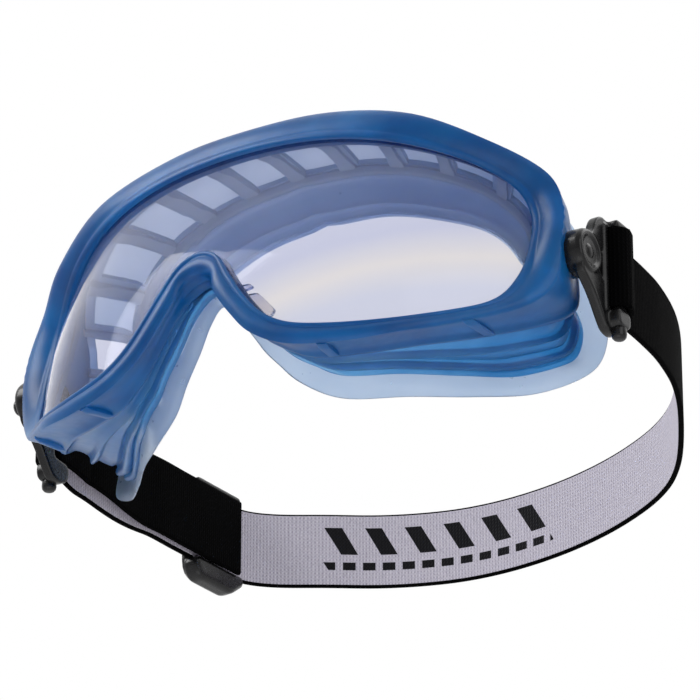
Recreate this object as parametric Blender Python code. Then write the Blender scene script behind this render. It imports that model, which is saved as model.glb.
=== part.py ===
"""Wide-vision safety goggles on an elastic headband, as an assembly of separate pieces.

Frame: +Y runs back from the lens to the head, +Z up, +X towards the wearer's left.
Sizes are in millimetres, measured from the tip of the nose arch. to_world() turns them into metres
about the origin, which lies in the middle of the face seal, where a head holds the goggles.
"""
import bmesh
import bpy
import math
from mathutils import Vector

MM = 0.001

# Where the origin lies, measured from the tip of the nose arch.
ORIGIN_Y = 60.0
ORIGIN_Z = 16.0

# Front surface: how far it lies back at a place (x, z).
WRAP_SQUARE = 3.55e-3
WRAP_FOURTH = 1.0e-6
BROW_LEAN = 0.25
LEAN_CENTRE = 8.0
LEAN_SOFTNESS = 14.0

# Half outlines at shared stations, from the nose arch, round the cheek and temple, to the brow:
# lens opening (x, z), rim's outer edge (x, y, z), rim's depth there, face seal's free edge (x, y, z).
STATIONS = (
    ((0.0, 14.5), (0.0, 4.2, 8.6), 6.5, (0.0, 15.5, 4.5)),
    ((5.0, 12.3), (3.6, 4.0, 7.0), 6.5, (3.6, 16.0, 1.0)),
    ((9.6, 5.2), (5.6, 2.4, 1.8), 7.0, (7.6, 17.5, -5.0)),
    ((14.2, -1.8), (10.2, 2.0, -5.2), 8.0, (12.0, 19.0, -11.0)),
    ((19.5, -7.7), (16.0, 2.2, -11.8), 9.0, (17.0, 22.0, -16.5)),
    ((26.5, -11.3), (25.0, 3.6, -16.3), 10.5, (25.5, 26.5, -21.0)),
    ((37.0, -12.4), (37.5, 7.6, -17.2), 12.0, (36.5, 38.0, -18.6)),
    ((47.6, -11.2), (49.0, 14.0, -15.0), 12.0, (46.0, 50.5, -15.6)),
    ((57.4, -7.6), (60.0, 26.0, -10.0), 11.0, (55.0, 62.0, -12.4)),
    ((63.6, -2.8), (69.5, 39.5, -2.0), 9.5, (63.5, 72.5, -7.6)),
    ((66.6, 5.0), (78.4, 49.5, 3.2), 8.5, (68.0, 76.0, 2.7)),
    ((67.4, 14.0), (79.4, 51.2, 13.0), 8.0, (69.2, 75.5, 14.0)),
    ((66.6, 23.5), (76.4, 51.0, 23.5), 7.5, (68.4, 73.5, 28.0)),
    ((62.8, 31.4), (71.8, 46.5, 33.0), 7.6, (63.0, 70.0, 41.0)),
    ((53.5, 37.5), (61.0, 35.2, 40.6), 8.2, (51.5, 66.5, 51.0)),
    ((38.0, 42.8), (44.0, 27.8, 49.4), 6.6, (36.0, 63.5, 57.0)),
    ((20.0, 46.3), (22.0, 26.0, 55.2), 6.0, (18.5, 61.5, 59.8)),
    ((0.0, 47.4), (0.0, 23.5, 55.2), 6.0, (0.0, 60.5, 60.6)),
)
STEPS_PER_STATION = 3

# Gap between pieces that touch.
GAP = 0.3

# Lens and the groove that holds it.
LENS_RECESS = 1.2
LENS_THICKNESS = 2.0
LENS_TUCK = 1.1
LENS_CENTRE_Z = 30.0
LENS_ROWS = (1.0, 0.965, 0.88, 0.74, 0.52, 0.26)

# Skirt and face seal.
WALL = 1.7
SEAL_FLARE = 6.0
NOSE_FLARE_SHARE = 0.5
NOSE_REACH = 40.0
SEAL_SETBACK = 4.5
SEAL_THICKNESS = 1.2
# How far along the wall each fold lies, from rim to seal, and how far it stands out below and at the brow.
FOLDS = ((0.0, 0.0, 0.0), (0.12, 0.8, 0.0), (0.27, -0.8, 0.0), (0.42, 0.8, 0.0), (0.57, -0.8, 0.0),
         (0.74, 0.6, 0.3), (0.83, -0.3, 1.1), (0.91, 0.3, -0.5), (1.0, 0.0, 0.0))
# Over the brow the wall turns in before the seal: how far in and back, from where along it, and over which heights.
BROW_SHELF_IN = 7.5
BROW_SHELF_BACK = 3.5
BROW_SHELF_START = 0.72
BROW_SHELF_LOW_Z = 5.0
BROW_SHELF_RISE = 30.0

# Brow vents: where each starts and ends, in stations from the brow's centre, and how far along the wall.
VENTS = ((0.12, 0.60), (0.84, 1.33), (1.58, 2.10), (2.38, 3.04), (3.36, 4.06), (4.38, 5.16))
VENT_START = 0.14
VENT_END = 0.68
VENT_CUT_OUT = 5.0
VENT_CUT_IN = 6.0
# The strip over the vents.
COVER_STANDOFF = 1.9
COVER_THICKNESS = 1.2
COVER_HALF_SPAN = 57.0
COVER_LINES = (0.04, 0.38, 0.76)

# Headband: level, so it is drawn in plan and given a width.
STRAP_WIDTH = 20.6
STRAP_THICKNESS = 1.4
STRAP_Z = 12.3
LAYER_SPACING = 3.4
# Plan of the headband from the right side of its sewn loop, round the back, to the other clip (x, y).
HEADBAND_PLAN = (
    (77.0, 70.5), (76.7, 79.0), (75.5, 90.0), (71.8, 104.5), (64.5, 121.0), (52.0, 143.0), (40.5, 155.5),
    (25.0, 164.0), (8.0, 168.6), (-10.0, 169.6), (-27.0, 167.2), (-43.0, 161.2), (-57.5, 151.8),
    (-67.5, 143.0), (-71.4, 134.5), (-72.4, 123.0), (-73.4, 111.5), (-74.4, 100.0), (-77.4, 86.0),
    (-81.0, 74.0))
RETURN_END_Y = 135.0

# Strap clips, their bars and pivots.
PIVOT_Y = 49.2
PIVOT_Z = 13.0
HUB_RADIUS = 5.9
HUB_INNER_X = 74.4
HUB_OUTER_X = 78.2
PLATE_INNER_X = 77.2
PLATE_OUTER_X = 79.5
RECESS_RADIUS = 6.5
RECESS_FLOOR_X = 74.1
SWEEP_RADIUS = 8.9
SWEEP_FLOOR_X = 76.8
BOSS_RADIUS = 5.2
BOSS_INNER_X = 70.4
PIN_RADIUS = 1.7
PIN_HEAD_RADIUS = 3.2
PIN_TIP_RADIUS = 2.3
PIN_TIP_X = 79.9
PIN_HEAD_INNER_X = 68.6
BAR_X = 80.2
BAR_Y = 63.5
BAR_RADIUS = 1.8
BAR_BOTTOM_Z = -4.0
BAR_TOP_Z = 28.0
ARM_OUTER_X = 82.4

# Slider on the doubled side of the headband.
SLIDER_PLACE = 123.0 + 4.5
SLIDER_LENGTH = 18.0
SLIDER_HEIGHT = 28.5
SLIDER_BAR = 2.6
SLIDER_CENTRE_BAR = 3.4
SLIDER_BAR_THICKNESS = 1.4

ROUND_STEPS = 28


def to_world(x, y, z):
    return Vector((x, y - ORIGIN_Y, z - ORIGIN_Z)) * MM


def front_y(x, z):
    """Distance back from the nose tip of the front surface at (x, z)."""
    rise = z - LEAN_CENTRE
    lean = BROW_LEAN * (rise + math.hypot(rise, LEAN_SOFTNESS))
    return WRAP_SQUARE * x * x + WRAP_FOURTH * x ** 4 + lean


def smoothstep(t):
    t = min(1.0, max(0.0, t))
    return t * t * (3 - 2 * t)


def catmull_rom(before, start, end, after, t):
    """One point of the smooth curve from start to end."""
    return tuple(
        0.5 * (2 * b + (c - a) * t + (2 * a - 5 * b + 4 * c - d) * t * t + (3 * b - a - 3 * c + d) * t ** 3)
        for a, b, c, d in zip(before, start, end, after))


def closed_curve(half):
    """Closed smooth loop, symmetric about x = 0, through half's points and their mirror images."""
    keys = list(half) + [(-p[0],) + tuple(p[1:]) for p in reversed(half[1:-1])]
    count = len(keys)
    points = []
    for index in range(count):
        around = [keys[(index + offset) % count] for offset in (-1, 0, 1, 2)]
        points += [Vector(catmull_rom(*around, step / STEPS_PER_STATION)) for step in range(STEPS_PER_STATION)]
    return points


def open_curve(keys, steps):
    """Smooth open curve through keys."""
    padded = [keys[0]] + list(keys) + [keys[-1]]
    points = []
    for index in range(1, len(padded) - 2):
        around = padded[index - 1:index + 3]
        points += [Vector(catmull_rom(*around, step / steps)) for step in range(steps)]
    return points + [Vector(keys[-1])]


class Station:
    """The goggles' walls at one place round their outline."""

    def __init__(self, opening, outward, rim_edge, rim_depth, seal_edge):
        self.outward = outward
        self.opening = Vector((opening.x, front_y(opening.x, opening.y), opening.y))
        self.rim_edge = rim_edge
        self.rim_depth = rim_depth
        self.seal_edge = seal_edge
        flare = SEAL_FLARE * min(1.0, NOSE_FLARE_SHARE + abs(seal_edge.x) / NOSE_REACH)
        straight_root = seal_edge - outward * flare - Vector((0, SEAL_SETBACK, 0))
        self.brow = smoothstep((seal_edge.z - BROW_SHELF_LOW_Z) / BROW_SHELF_RISE)
        self.shelf = (Vector((0, BROW_SHELF_BACK, 0)) - outward * BROW_SHELF_IN) * self.brow
        self.seal_root = straight_root + self.shelf
        side = straight_root - rim_edge
        self.side_length = side.length
        self.side = side.normalized()
        self.side_normal = (outward - self.side * outward.dot(self.side)).normalized()

    def wall(self, distance, offset=0.0):
        """A point on the side wall, at a distance back from the rim's front edge."""
        turned_in = smoothstep((distance / self.side_length - BROW_SHELF_START) / (1.0 - BROW_SHELF_START))
        return self.rim_edge + self.side * distance + self.side_normal * offset + self.shelf * turned_in

    def skirt(self, fraction, offset=0.0):
        """A point on the skirt, which runs from the rim's back edge to the seal."""
        start = self.rim_depth + GAP
        return self.wall(start + (self.side_length - start) * fraction, offset)

    def folded(self, thickness):
        """The skirt's folded profile, one thickness in from its outer face."""
        return [self.skirt(fraction, low + (brow - low) * self.brow - thickness) for fraction, low, brow in FOLDS]

    def groove(self, out, back):
        """A point near the lens's edge, out from the opening and back from the front surface."""
        place = self.opening + self.outward * out
        return Vector((place.x, front_y(place.x, place.z) + back, place.z))


def make_stations():
    openings = closed_curve([s[0] for s in STATIONS])
    rim_edges = closed_curve([s[1] for s in STATIONS])
    depths = closed_curve([(s[0][0], s[2]) for s in STATIONS])
    seal_edges = closed_curve([s[3] for s in STATIONS])
    count = len(openings)
    stations = []
    for index in range(count):
        along = openings[(index + 1) % count] - openings[index - 1]
        outward = Vector((along.y, 0, -along.x)).normalized()
        stations.append(Station(openings[index], outward, rim_edges[index], depths[index].y, seal_edges[index]))
    return stations


def material(name, colour, roughness, metallic=0.0, alpha=1.0):
    made = bpy.data.materials.new(name)
    made.use_nodes = True
    shader = made.node_tree.nodes["Principled BSDF"]
    shader.inputs["Base Color"].default_value = (*colour, 1.0)
    shader.inputs["Roughness"].default_value = roughness
    shader.inputs["Metallic"].default_value = metallic
    shader.inputs["Alpha"].default_value = alpha
    made.diffuse_color = (*colour, alpha)
    return made


def add_object(name, vertices, faces, finish):
    """An object from points in millimetres, with its faces turned outwards."""
    mesh = bpy.data.meshes.new(name)
    mesh.from_pydata([to_world(*v) for v in vertices], [], faces)
    mesh.validate()
    mesh.calc_loop_triangles()
    volume = 0.0
    for triangle in mesh.loop_triangles:
        a, b, c = (mesh.vertices[i].co for i in triangle.vertices)
        volume += a.dot(b.cross(c))
    if volume < 0:
        mesh.flip_normals()
    if finish:
        mesh.materials.append(finish)
    made = bpy.data.objects.new(name, mesh)
    bpy.context.collection.objects.link(made)
    return made


def loft(name, sections, closed, finish):
    """A solid through sections that have the same number of points: a ring, or a bar with flat ends."""
    size = len(sections[0])
    count = len(sections)
    vertices = [point for section in sections for point in section]
    faces = []
    for row in range(count if closed else count - 1):
        other = (row + 1) % count
        for index in range(size):
            following = (index + 1) % size
            faces.append((row * size + index, row * size + following,
                          other * size + following, other * size + index))
    if not closed:
        faces.append(tuple(reversed(range(size))))
        faces.append(tuple((count - 1) * size + index for index in range(size)))
    return add_object(name, vertices, faces, finish)


def cylinder_x(name, sections, y, z, finish):
    """A turned piece about an axis along X: sections are (x, radius)."""
    rings = []
    for x, radius in sections:
        rings.append([(x, y + radius * math.cos(a), z + radius * math.sin(a))
                      for a in (math.tau * i / ROUND_STEPS for i in range(ROUND_STEPS))])
    return loft(name, rings, False, finish)


def plate_x(name, outline, inner_x, outer_x, finish):
    """A flat plate across X with its outline in (y, z)."""
    return loft(name, [[(x, y, z) for y, z in outline] for x in (inner_x, outer_x)], False, finish)


def triangulate(target):
    """Split bent faces into flat triangles, so that cuts across them close exactly."""
    mesh = bmesh.new()
    mesh.from_mesh(target.data)
    bmesh.ops.triangulate(mesh, faces=mesh.faces)
    mesh.to_mesh(target.data)
    mesh.free()


def combine(target, operation, other):
    """Join other to target or cut it away, then drop it."""
    triangulate(target)
    modifier = target.modifiers.new(operation.title(), "BOOLEAN")
    modifier.operation = operation
    modifier.object = other
    modifier.solver = "EXACT"
    graph = bpy.context.evaluated_depsgraph_get()
    graph.update()
    result = bpy.data.meshes.new_from_object(target.evaluated_get(graph))
    target.modifiers.clear()
    target.data = result
    bpy.data.objects.remove(other, do_unlink=True)
    return target


def smooth(target, degrees=35.0):
    target.data.shade_smooth()
    target.data.set_sharp_from_angle(angle=math.radians(degrees))
    return target


def front_rim(stations, finish):
    """The stiff front band: it holds the lens in a groove and carries both pivots."""
    groove_back = LENS_RECESS + LENS_THICKNESS + GAP
    sections = []
    for s in stations:
        crown = (s.groove(0, -0.6) + s.rim_edge) / 2 - Vector((0, 0.7, 0))
        sections.append([
            s.groove(0, -0.6), crown, s.rim_edge, s.wall(s.rim_depth, -0.4), s.wall(s.rim_depth, -0.4 - WALL),
            s.wall(min(s.rim_depth - 1.2, 6.0), -WALL), s.groove(0.1, groove_back + 1.8),
            s.groove(0, groove_back), s.groove(LENS_TUCK + GAP, groove_back),
            s.groove(LENS_TUCK + GAP, LENS_RECESS - GAP), s.groove(0, LENS_RECESS - GAP)])
    rim = loft("front_rim", sections, True, finish)
    for side in (1, -1):
        boss = cylinder_x("boss", [(side * BOSS_INNER_X, BOSS_RADIUS), (side * (RECESS_FLOOR_X + 1), BOSS_RADIUS)],
                          PIVOT_Y, PIVOT_Z, finish)
        combine(rim, "UNION", boss)
        cut_pivot(rim, side)
    return smooth(rim)


def cut_pivot(target, side):
    """Take the hub's recess, the pin's hole and the pocket for the pin's head out of target."""
    for inner_x, outer_x, radius in ((SWEEP_FLOOR_X, 90, SWEEP_RADIUS), (RECESS_FLOOR_X, 90, RECESS_RADIUS),
                                     (60, 90, PIN_RADIUS + GAP), (60, BOSS_INNER_X, PIN_HEAD_RADIUS + GAP)):
        hollow = cylinder_x("hollow", [(side * inner_x, radius), (side * outer_x, radius)],
                            PIVOT_Y, PIVOT_Z, None)
        combine(target, "DIFFERENCE", hollow)


def lens(stations, finish):
    """The clear lens: a thin wrapped shell, tucked into the rim's groove."""
    outline = [s.opening + s.outward * LENS_TUCK for s in stations]
    centre = Vector((0, 0, LENS_CENTRE_Z))
    vertices = []
    for back in (LENS_RECESS, LENS_RECESS + LENS_THICKNESS):
        for fraction in LENS_ROWS:
            for point in outline:
                x = point.x * fraction
                z = centre.z + (point.z - centre.z) * fraction
                vertices.append((x, front_y(x, z) + back, z))
        vertices.append((0, front_y(0, centre.z) + back, centre.z))
    count = len(outline)
    rows = len(LENS_ROWS)
    layer = rows * count + 1
    faces = []
    for side in (0, layer):
        for row in range(rows - 1):
            for index in range(count):
                following = (index + 1) % count
                quad = (side + row * count + index, side + row * count + following,
                        side + (row + 1) * count + following, side + (row + 1) * count + index)
                faces.append(quad if side else tuple(reversed(quad)))
        for index in range(count):
            last = side + (rows - 1) * count
            triangle = (last + index, last + (index + 1) % count, side + rows * count)
            faces.append(triangle if side else tuple(reversed(triangle)))
    for index in range(count):
        following = (index + 1) % count
        faces.append((index, following, layer + following, layer + index))
    return smooth(add_object("lens", vertices, faces, finish))


def skirt(stations, finish):
    """The soft folded body between the rim and the face seal, with a row of brow vents."""
    sections = [s.folded(0.0) + list(reversed(s.folded(WALL))) for s in stations]
    body = loft("skirt", sections, True, finish)
    for start, end in VENTS:
        for side in (1, -1):
            cut_vent(body, stations, side * start, side * end)
    return smooth(body, 50.0)


def between(stations, place, fraction, offset):
    """A point on the skirt at any place, in key stations from the brow's centre."""
    position = (len(STATIONS) - 1 + place) * STEPS_PER_STATION
    index = math.floor(position)
    return stations[index].skirt(fraction, offset).lerp(stations[index + 1].skirt(fraction, offset), position - index)


def cut_vent(body, stations, start, end):
    """One rectangular air window through the brow wall."""
    layers = []
    for offset in (-VENT_CUT_IN, VENT_CUT_OUT):
        layers.append([between(stations, place, fraction, offset) for place, fraction in (
            (start, VENT_START), (end, VENT_START), (end, VENT_END), (start, VENT_END))])
    combine(body, "DIFFERENCE", loft("vent", layers, False, None))


def brow_vent_cover(stations, finish):
    """The strip that stands off the brow vents, so air enters from its edges but splashes don't."""
    covered = [s for s in stations if s.rim_edge.z > 30 and abs(s.rim_edge.x) < COVER_HALF_SPAN]
    covered.sort(key=lambda s: s.rim_edge.x)
    sections = []
    for s in covered:
        bottom = [s.skirt(line, COVER_STANDOFF) for line in COVER_LINES]
        top = [s.skirt(line, COVER_STANDOFF + COVER_THICKNESS) for line in reversed(COVER_LINES)]
        sections.append(bottom + top)
    return smooth(loft("brow_vent_cover", sections, False, finish))


def face_seal(stations, finish):
    """The thin flared flange that lies on the face."""
    sections = []
    for s in stations:
        root = s.seal_root + s.side * GAP
        tip = s.seal_edge
        middle = root.lerp(tip, 0.5) - Vector((0, 0.6, 0)) + s.outward * 0.4
        back = Vector((0, SEAL_THICKNESS, 0))
        sections.append([root, middle, tip, tip + back * 0.8, middle + back - s.outward * 0.5,
                         root + s.side * 1.6 - s.outward * WALL, root - s.outward * WALL])
    return smooth(loft("face_seal", sections, True, finish), 60.0)


def pivot_pin(name, side, finish):
    """The pin that holds a strap clip's hub to the rim, with a retaining head inside."""
    sections = [(PIN_HEAD_INNER_X, PIN_HEAD_RADIUS - 0.5), (PIN_HEAD_INNER_X + 0.5, PIN_HEAD_RADIUS),
                (BOSS_INNER_X - GAP, PIN_HEAD_RADIUS), (BOSS_INNER_X - GAP + 0.01, PIN_RADIUS),
                (HUB_OUTER_X + GAP - 0.01, PIN_RADIUS), (HUB_OUTER_X + GAP, PIN_TIP_RADIUS),
                (PIN_TIP_X - 0.9, PIN_TIP_RADIUS), (PIN_TIP_X - 0.25, PIN_TIP_RADIUS * 0.75),
                (PIN_TIP_X, PIN_TIP_RADIUS * 0.35)]
    return smooth(cylinder_x(name, [(side * x, r) for x, r in sections], PIVOT_Y, PIVOT_Z, finish))


def clip_outline():
    """Outline of a clip's plate in (y, z): hub, waisted neck and a wide back edge."""
    half = [(PIVOT_Y, 0.0), (PIVOT_Y, 4.9), (54.4, 4.9), (57.2, 7.4), (58.6, 11.8), (60.2, 14.8), (64.6, 15.0),
            (66.2, 13.8), (66.2, 11.2), (60.6, 11.2), (60.0, 10.6)]
    upper = [(y, STRAP_Z + z) for y, z in half]
    lower = [(y, STRAP_Z - z) for y, z in reversed(half[1:])]
    return upper + lower


def strap_clip(name, side, finish):
    """A clip: a round hub on the pivot pin, a waisted plate, and two arms that hold the strap bar."""
    plate = plate_x(name, clip_outline(), side * PLATE_INNER_X, side * PLATE_OUTER_X, finish)
    hub_profile = ((HUB_INNER_X, HUB_RADIUS - 0.3), (HUB_INNER_X + 0.3, HUB_RADIUS),
                   (HUB_INNER_X + 1.2, HUB_RADIUS), (HUB_OUTER_X - 0.7, HUB_RADIUS - 1.0),
                   (HUB_OUTER_X, HUB_RADIUS - 2.2))
    hub = cylinder_x("hub", [(side * x, r) for x, r in hub_profile], PIVOT_Y, PIVOT_Z, finish)
    combine(plate, "UNION", hub)
    for low, high in ((BAR_BOTTOM_Z + 1.8, STRAP_Z - STRAP_WIDTH / 2 - 0.5),
                      (STRAP_Z + STRAP_WIDTH / 2 + 0.5, BAR_TOP_Z - 1.4)):
        arm_outline = ((60.6, low), (65.8, low), (65.8, high), (60.6, high))
        arm = plate_x("arm", arm_outline, side * (PLATE_OUTER_X - 0.6), side * ARM_OUTER_X, finish)
        combine(plate, "UNION", arm)
    for inner_x, radius in ((60, PIN_RADIUS + GAP), (HUB_OUTER_X, PIN_TIP_RADIUS + GAP)):
        hole = cylinder_x("hole", [(side * inner_x, radius), (side * 90, radius)], PIVOT_Y, PIVOT_Z, None)
        combine(plate, "DIFFERENCE", hole)
    combine(plate, "DIFFERENCE", bar_solid("bore", side, BAR_RADIUS + GAP, -20, 50, None))
    return smooth(plate)


def bar_solid(name, side, radius, bottom, top, finish):
    rings = []
    for z in (bottom, top):
        rings.append([(side * BAR_X + radius * math.cos(a), BAR_Y + radius * math.sin(a), z)
                      for a in (math.tau * i / 20 for i in range(20))])
    return loft(name, rings, False, finish)


def strap_bar(name, side, finish):
    """The round bar across a clip that the headband loops over."""
    return smooth(bar_solid(name, side, BAR_RADIUS, BAR_BOTTOM_Z, BAR_TOP_Z, finish))


def loop_round_bar(side, start_degrees, sweep_degrees):
    """Plan of webbing folded round a clip's bar."""
    radius = BAR_RADIUS + GAP + 0.1 + STRAP_THICKNESS / 2
    steps = 8
    points = []
    for step in range(steps + 1):
        angle = math.radians(start_degrees + sweep_degrees * step / steps)
        points.append(Vector((side * BAR_X + radius * math.cos(angle), BAR_Y + radius * math.sin(angle))))
    return points


def return_plan():
    """Plan of the doubled stretch's inner layer, from the clip back through the slider."""
    outer = [Vector(p) for p in HEADBAND_PLAN if p[0] < -70 and p[1] < RETURN_END_Y]
    inner = []
    for index in range(len(outer) - 1, 0, -1):
        along = (outer[index] - outer[index - 1]).normalized()
        inner.append(outer[index] + Vector((-along.y, along.x)) * LAYER_SPACING)
    along = (outer[0] - outer[1]).normalized()
    inner.append(outer[0] + Vector((along.y, -along.x)) * LAYER_SPACING)
    return inner


def headband_plan():
    """Centre line of the whole headband in plan, from the sewn flap to the end of the inner layer."""
    flap = [Vector((81.2, 71.0)), Vector((82.6, 67.0))]
    first_loop = loop_round_bar(1, 0, -180)
    main = open_curve(HEADBAND_PLAN, 3)
    second_loop = loop_round_bar(-1, 180, 180)
    inner = open_curve([tuple(p) for p in return_plan()], 3)
    return flap + first_loop + main + second_loop + inner


def ribbon_sections(plan, width, thickness, z):
    sections = []
    for index, point in enumerate(plan):
        before = plan[max(index - 1, 0)]
        after = plan[min(index + 1, len(plan) - 1)]
        along = (after - before).normalized()
        across = Vector((along.y, -along.x)) * thickness / 2
        sections.append([(point.x + across.x, point.y + across.y, z - width / 2),
                         (point.x + across.x, point.y + across.y, z + width / 2),
                         (point.x - across.x, point.y - across.y, z + width / 2),
                         (point.x - across.x, point.y - across.y, z - width / 2)])
    return sections


def headband(finish):
    """The elastic webbing: sewn round one clip's bar, and doubled back through the slider on the other."""
    sections = ribbon_sections(headband_plan(), STRAP_WIDTH, STRAP_THICKNESS, STRAP_Z)
    return smooth(loft("headband", sections, False, finish))


def slider(finish):
    """Three-bar slider: end bars outside the headband's outer layer, centre bar between the layers."""
    origin = Vector((-72.4, 123.0))
    along = (Vector((-71.4, 134.5)) - origin).normalized()
    out = Vector((-along.y, along.x))
    centre = origin + along * (SLIDER_PLACE - origin.y)

    def block(name, along_low, along_high, out_low, out_high, low, high):
        corners = ((along_low, out_low), (along_high, out_low), (along_high, out_high), (along_low, out_high))
        outline = [centre + along * a + out * o for a, o in corners]
        return loft(name, [[(p.x, p.y, z) for p in outline] for z in (low, high)], False, finish)

    half = SLIDER_LENGTH / 2
    top = STRAP_Z + SLIDER_HEIGHT / 2
    bottom = STRAP_Z - SLIDER_HEIGHT / 2
    rail_in = STRAP_Z + STRAP_WIDTH / 2 + 0.5
    rail_out = STRAP_Z - STRAP_WIDTH / 2 - 0.5
    clear = STRAP_THICKNESS / 2 + 0.35
    inner_face = -(LAYER_SPACING - clear)
    outer_face = clear + SLIDER_BAR_THICKNESS
    frame = block("slider", -half, half, inner_face - 0.1, outer_face + 0.1, rail_in, top)
    centre_bar = block("centre", -SLIDER_CENTRE_BAR / 2, SLIDER_CENTRE_BAR / 2, inner_face, -clear,
                       bottom + 1, top - 1)
    combine(frame, "UNION", centre_bar)
    combine(frame, "UNION", block("rail", -half, half, inner_face - 0.1, outer_face + 0.1, bottom, rail_out))
    for low, high in ((-half + 0.1, -half + SLIDER_BAR), (half - SLIDER_BAR, half - 0.1)):
        combine(frame, "UNION", block("end", low, high, clear, outer_face, bottom + 1, top - 1))
    return smooth(frame)


def main():
    for old in list(bpy.data.objects):
        bpy.data.objects.remove(old, do_unlink=True)
    blue = material("blue_rubber", (0.03, 0.16, 0.48), 0.38)
    light_blue = material("light_blue_rubber", (0.30, 0.48, 0.78), 0.45)
    clear = material("clear_polycarbonate", (0.86, 0.88, 0.94), 0.05, alpha=0.3)
    black = material("black_plastic", (0.02, 0.02, 0.022), 0.25)
    webbing = material("woven_elastic", (0.03, 0.03, 0.035), 0.85)
    stations = make_stations()
    front_rim(stations, blue)
    lens(stations, clear)
    skirt(stations, blue)
    brow_vent_cover(stations, blue)
    face_seal(stations, light_blue)
    for name, side in (("left", 1), ("right", -1)):
        pivot_pin(name + "_pivot_pin", side, black)
        strap_clip(name + "_strap_clip", side, black)
        strap_bar(name + "_strap_bar", side, black)
    headband(webbing)
    slider(black)


main()
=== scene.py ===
"""Looks of the safety goggles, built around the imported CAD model.

Design sizes are in millimetres from the tip of the nose arch: Y runs back to the head, Z up, X to the
wearer's left. to_world() turns them into metres in the model's own frame.
"""
import bmesh
import bpy
import math
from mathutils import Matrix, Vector


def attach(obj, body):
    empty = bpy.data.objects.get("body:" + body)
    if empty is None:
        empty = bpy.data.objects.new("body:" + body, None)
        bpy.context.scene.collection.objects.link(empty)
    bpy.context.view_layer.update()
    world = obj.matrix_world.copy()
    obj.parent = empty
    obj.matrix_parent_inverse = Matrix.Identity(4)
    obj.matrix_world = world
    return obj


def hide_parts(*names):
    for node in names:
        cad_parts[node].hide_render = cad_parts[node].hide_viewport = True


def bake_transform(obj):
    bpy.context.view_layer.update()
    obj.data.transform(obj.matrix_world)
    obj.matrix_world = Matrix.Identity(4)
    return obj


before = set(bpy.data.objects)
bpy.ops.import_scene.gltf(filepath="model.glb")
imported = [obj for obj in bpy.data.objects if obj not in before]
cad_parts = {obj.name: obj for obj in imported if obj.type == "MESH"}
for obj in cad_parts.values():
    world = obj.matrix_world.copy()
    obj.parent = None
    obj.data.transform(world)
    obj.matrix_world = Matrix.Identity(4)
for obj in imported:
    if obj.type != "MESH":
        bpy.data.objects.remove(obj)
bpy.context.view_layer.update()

MM = 0.001
# Where the model's origin lies, measured from the tip of the nose arch.
ORIGIN_Y = 60.0
ORIGIN_Z = 16.0
# Points round the outline for each key station.
STEPS = 8

# Front surface: how far it lies back at a place (x, z).
WRAP_SQUARE = 3.55e-3
WRAP_FOURTH = 1.0e-6
BROW_LEAN = 0.25
LEAN_CENTRE = 8.0
LEAN_SOFTNESS = 14.0

# Lens opening (x, z), rim's outer edge (x, y, z), rim's depth, face seal's free edge (x, y, z).
STATIONS = (
    ((0.0, 14.5), (0.0, 4.2, 8.6), 6.5, (0.0, 15.5, 4.5)),
    ((5.0, 12.3), (3.6, 4.0, 7.0), 6.5, (3.6, 16.0, 1.0)),
    ((9.6, 5.2), (5.6, 2.4, 1.8), 7.0, (7.6, 17.5, -5.0)),
    ((14.2, -1.8), (10.2, 2.0, -5.2), 8.0, (12.0, 19.0, -11.0)),
    ((19.5, -7.7), (16.0, 2.2, -11.8), 9.0, (17.0, 22.0, -16.5)),
    ((26.5, -11.3), (25.0, 3.6, -16.3), 10.5, (25.5, 26.5, -21.0)),
    ((37.0, -12.4), (37.5, 7.6, -17.2), 12.0, (36.5, 38.0, -18.6)),
    ((47.6, -11.2), (49.0, 14.0, -15.0), 12.0, (47.0, 50.8, -16.0)),
    ((57.4, -7.6), (60.0, 26.0, -10.0), 11.0, (57.0, 62.6, -12.8)),
    ((63.6, -2.8), (70.0, 37.0, -3.6), 12.5, (66.8, 71.0, -6.4)),
    ((66.6, 5.0), (74.6, 41.2, 3.6), 16.5, (69.4, 75.0, 2.7)),
    ((67.4, 14.0), (75.6, 42.0, 13.5), 17.0, (68.2, 75.5, 14.0)),
    ((66.6, 23.5), (75.2, 44.0, 24.0), 15.0, (65.4, 73.5, 27.0)),
    ((62.8, 31.4), (71.2, 43.6, 33.4), 10.0, (59.8, 70.0, 38.6)),
    ((53.5, 37.5), (61.0, 35.2, 40.6), 8.2, (49.6, 66.5, 48.6)),
    ((38.0, 42.8), (44.0, 27.8, 49.4), 6.6, (35.0, 63.5, 55.2)),
    ((20.0, 46.3), (22.0, 26.0, 55.2), 6.0, (18.5, 61.5, 59.8)),
    ((0.0, 47.4), (0.0, 23.5, 55.2), 6.0, (0.0, 60.5, 60.6)),
)
BROW = len(STATIONS) - 1
# Gap between pieces that touch.
GAP = 0.3
LENS_RECESS = 1.2
LENS_THICKNESS = 2.0
LENS_TUCK = 1.1
LENS_CENTRE_Z = 30.0
WALL = 1.7
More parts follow.
